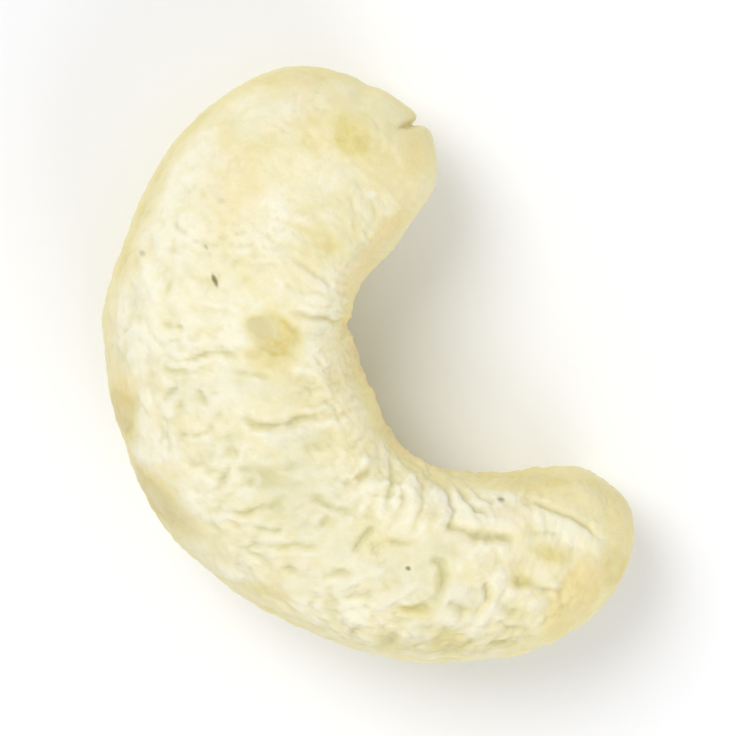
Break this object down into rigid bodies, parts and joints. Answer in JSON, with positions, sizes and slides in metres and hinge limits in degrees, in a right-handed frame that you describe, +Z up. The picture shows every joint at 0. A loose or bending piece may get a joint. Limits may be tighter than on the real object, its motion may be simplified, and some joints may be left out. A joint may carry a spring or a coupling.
{
  "type": "cashew kernel",
  "caption": "Whole peeled cashew kernel lying on its side: a curved cream nut with a fat root end, a slimmer plain end, a seam furrow along its inner curve and fine dried wrinkles.",
  "frame": {"origin": "below the middle of the kernel's box, on the surface that it lies on", "axes": "+X along the kernel from its root end to its plain end, +Y out of the hollow of its curve, +Z up, through its thickness"},
  "size_m": [0.0258, 0.0174, 0.0104],
  "materials": {
    "cream_flesh": "waxy satin, cream white with butter yellow flanks and a few translucent yellow patches"
  },
  "bodies": {
    "root": {"kernel": "cream_flesh"}
  },
  "joints": []
}
